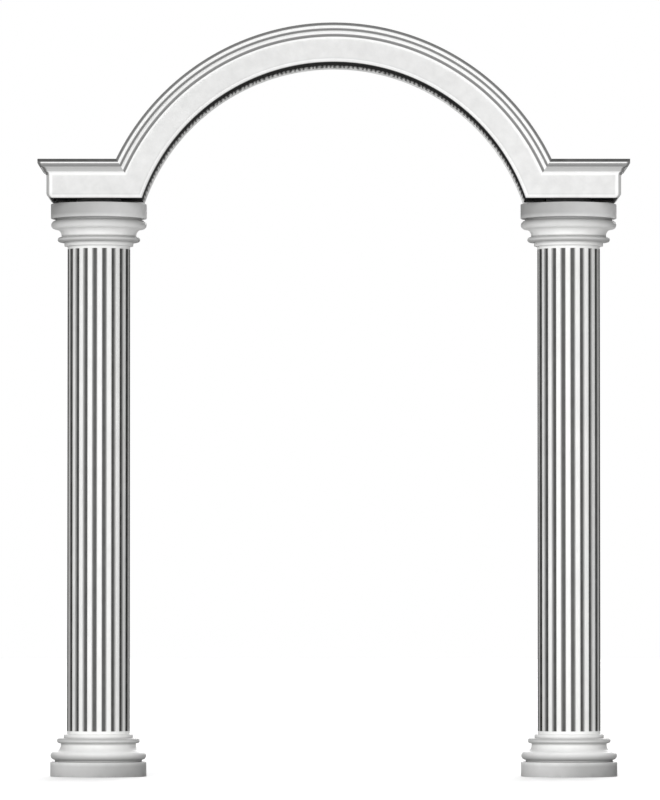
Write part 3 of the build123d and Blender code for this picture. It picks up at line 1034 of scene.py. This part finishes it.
class PORTAL_OT_cornice(bpy.types.Operator):
    """Cornice round the header's top, mitred at the haunches and corners"""

    bl_idname = "portal.cornice"
    bl_label = "Cornice"

    def execute(self, context):
        header, painted_light_and_joints = context.scene.portal_header, context.scene.portal_glaze
        finish = cornice_plaster(context.scene.portal_finish)
        section = cornice_section(header)
        drawn = drawn_in(section, header.seam)
        for name, side in SIDES.items():
            points, from_corner = end_run(section, drawn, END_CORNICE_STEPS, side)
            fields = cornice_fields(painted_light_and_joints, section, points, LEVEL_LINES, from_corner)
            stand_for(context, f"{name}_end_cornice", points, fields, finish)
        for name, face in FACES.items():
            points, from_corner = self.arch_run(section, drawn, face)
            fields = cornice_fields(painted_light_and_joints, section, points, ARCH_LINES, from_corner)
            stand_for(context, f"{name}_arch_cornice", points, fields, finish)
            for side_name, side in SIDES.items():
                points, from_corner = self.level_run(section, drawn, face, side)
                fields = cornice_fields(painted_light_and_joints, section, points, LEVEL_LINES, from_corner)
                stand_for(context, f"{name}_{side_name}_cornice", points, fields, finish)
        return {"FINISHED"}

    def arch_run(self, section, drawn, face):
        """Run round the arch on one face, drawn in at its two mitres, and how far it is from the corners."""
        placed, tip = on_face(section, face), on_face(drawn, face)
        close = np.array(MITRE_SHARES)
        even = np.linspace(close[-1], 1.0 - close[-1], ARCH_STEPS)[1:-1]
        shares = np.concatenate((close, even, 1.0 - close[::-1]))
        points = np.concatenate((arch_rows(tip, [0.0]), arch_rows(placed, shares), arch_rows(tip, [1.0])))
        return points, HEADER.end - meeting(HEADER.fascia)

    def level_run(self, section, drawn, face, side):
        """Level run on one face, drawn in at its two mitres, and how far each point is from the corner."""
        placed, tip = on_face(section, face), on_face(drawn, face)
        end, tip_end = HEADER.end + section[:, 0], HEADER.end + drawn[:, 0]
        shares = run_shares(meeting(HEADER.fascia), CORNICE_STEPS)
        shares[-1] -= MITRE_SHARES[0]
        points = np.concatenate((
            level_rows(tip, tip_end, [0.0], side),
            level_rows(placed, end, shares, side),
            level_rows(tip, tip_end, [1.0], side),
        ))
        return points, end - np.abs(points[..., 0])


class PORTAL_OT_stage(bpy.types.Operator):
    """Camera, pale floor, plain background and soft lights"""

    bl_idname = "portal.stage"
    bl_label = "Stage"

    def execute(self, context):
        stage = context.scene.portal_stage
        context.scene.view_settings.view_transform = "Standard"
        self.camera(context, stage)
        self.floor(context, stage)
        self.background(context, stage)
        self.lights(context, stage)
        self.low_lamp(context, stage)
        return {"FINISHED"}

    def camera(self, context, stage):
        """Camera at the photograph's angle: square to the front, low, far off and tilted up a little."""
        sensor, floors_seen = 36.0, 4.0
        rise = stage.aim_height - stage.camera_height
        camera = bpy.data.cameras.new("portal_camera")
        camera.sensor_width = sensor
        camera.lens = sensor * math.hypot(stage.camera_distance, rise) / stage.picture_height
        camera.clip_end = floors_seen * stage.floor_radius
        held = bpy.data.objects.new("portal_camera", camera)
        held.location = (stage.camera_shift, -stage.camera_distance, stage.camera_height)
        held.rotation_euler = (math.pi / 2.0 + math.atan2(rise, stage.camera_distance), 0.0, 0.0)
        context.scene.collection.objects.link(held)
        context.scene.camera = held

    def floor(self, context, stage):
        """Flat round slab, its top at floor level."""
        slab, inner_radius, rings = 0.1, 0.5, 12
        cloud_size, deep_share = 0.8, 0.98
        least_rough, cloudy_rough, relief = 0.9, 0.05, 0.0005
        radii = np.geomspace(inner_radius, stage.floor_radius, rings)
        top = np.column_stack((radii, np.zeros_like(radii)))
        profile = np.concatenate((top, top[::-1] - (0.0, slab)))
        mesh = ring_mesh("floor", turned(profile, 0.0), {})
        material, paint = new_paint("pale_floor")
        cloudy = paint.cloud(paint.place(), cloud_size)
        seen = paint.node("ShaderNodeLightPath", output="Is Camera Ray")
        pale = paint.mix(cloudy, opaque(stage.floor_tone, deep_share), opaque(stage.floor_tone))
        base = paint.mix(seen, opaque(stage.floor_tone, stage.bounce), pale)
        rough = least_rough + cloudy_rough * cloudy
        paint.surface(base, rough, paint.bump(cloudy, relief), shine=0.3)
        mesh.materials.append(material)
        floor = bpy.data.objects.new("floor", mesh)
        context.scene.collection.objects.link(floor)

    def background(self, context, stage):
        """Even background: one brightness to look at, another as light."""
        world = bpy.data.worlds.new("portal_world")
        world.use_nodes = True
        paint = Paint(world.node_tree)
        seen = paint.node("ShaderNodeLightPath", output="Is Camera Ray")
        strength = stage.sky_light + (stage.backdrop - stage.sky_light) * seen
        sockets = {"Color": opaque((1.0, 1.0, 1.0)), "Strength": strength}
        shader = paint.node("ShaderNodeBackground", {}, sockets)
        paint.node("ShaderNodeOutputWorld", {}, {"Surface": shader})
        context.scene.world = world

    def lights(self, context, stage):
        """Soft suns, each (turn from the front, height, strength) with angles in degrees."""
        suns = {
            "key": (-16.0, 17.0, stage.key_light),
            "top": (0.0, 88.0, stage.top_light),
            "back": (172.0, 24.0, stage.back_light),
        }
        for name, (turn, height, strength) in suns.items():
            sun = bpy.data.lights.new(f"{name}_light", "SUN")
            sun.energy = strength
            sun.angle = stage.softness
            held = bpy.data.objects.new(f"{name}_light", sun)
            held.rotation_euler = (math.radians(90.0 - height), 0.0, math.radians(turn))
            context.scene.collection.objects.link(held)

    def low_lamp(self, context, stage):
        """Wide lamp by the floor, in front and a little to the right, turned up to the header."""
        side_share = 0.125
        side_step = side_share * stage.low_light_width
        place = np.array((side_step, -stage.low_light_distance, stage.low_light_height / 2.0))
        aim = np.array((0.0, 0.0, HEADER.base)) - place
        lamp = bpy.data.lights.new("low_light", "AREA")
        lamp.energy = stage.low_light
        lamp.shape = "RECTANGLE"
        lamp.size = stage.low_light_width
        lamp.size_y = stage.low_light_height
        held = bpy.data.objects.new("low_light", lamp)
        held.location = place
        rise = math.atan2(aim[2], aim[1])
        held.rotation_euler = (math.pi / 2.0 + rise, 0.0, math.atan2(-aim[0], aim[1]))
        held.visible_camera = False
        context.scene.collection.objects.link(held)


OPERATORS = (
    PORTAL_OT_blocks,
    PORTAL_OT_mouldings,
    PORTAL_OT_shafts,
    PORTAL_OT_fascias,
    PORTAL_OT_end_boards,
    PORTAL_OT_linings,
    PORTAL_OT_top_boards,
    PORTAL_OT_cornice,
    PORTAL_OT_stage,
)
GROUPS = {
    "portal_columns": PortalColumns,
    "portal_header": PortalHeader,
    "portal_finish": PortalFinish,
    "portal_glaze": PortalPaintedLightAndJoints,
    "portal_stage": PortalStage,
}


class PORTAL_PT_sidebar(bpy.types.Panel):
    """Lists the portal's steps, sizes and colours"""

    bl_idname = "PORTAL_PT_sidebar"
    bl_label = "Arch portal"
    bl_space_type = "VIEW_3D"
    bl_region_type = "UI"
    bl_category = "Portal"

    def draw(self, context):
        for operator in OPERATORS:
            self.layout.operator(operator.bl_idname)
        for name, group in GROUPS.items():
            held = self.layout.box()
            for value in group.__annotations__:
                held.prop(getattr(context.scene, name), value)


CLASSES = (*GROUPS.values(), *OPERATORS, PORTAL_PT_sidebar)


def register():
    """Registers the classes and hangs the property groups on the scene."""
    for cls in CLASSES:
        bpy.utils.register_class(cls)
    for name, group in GROUPS.items():
        setattr(bpy.types.Scene, name, bpy.props.PointerProperty(type=group))


def unregister():
    """Takes the property groups off the scene and unregisters the classes."""
    for name in GROUPS:
        delattr(bpy.types.Scene, name)
    for cls in reversed(CLASSES):
        bpy.utils.unregister_class(cls)


def main():
    """Builds every piece and the stage in order."""
    register()
    bpy.ops.portal.blocks()
    bpy.ops.portal.mouldings()
    bpy.ops.portal.shafts()
    bpy.ops.portal.fascias()
    bpy.ops.portal.end_boards()
    bpy.ops.portal.linings()
    bpy.ops.portal.top_boards()
    bpy.ops.portal.cornice()
    bpy.ops.portal.stage()


if __name__ == "__main__":
    main()
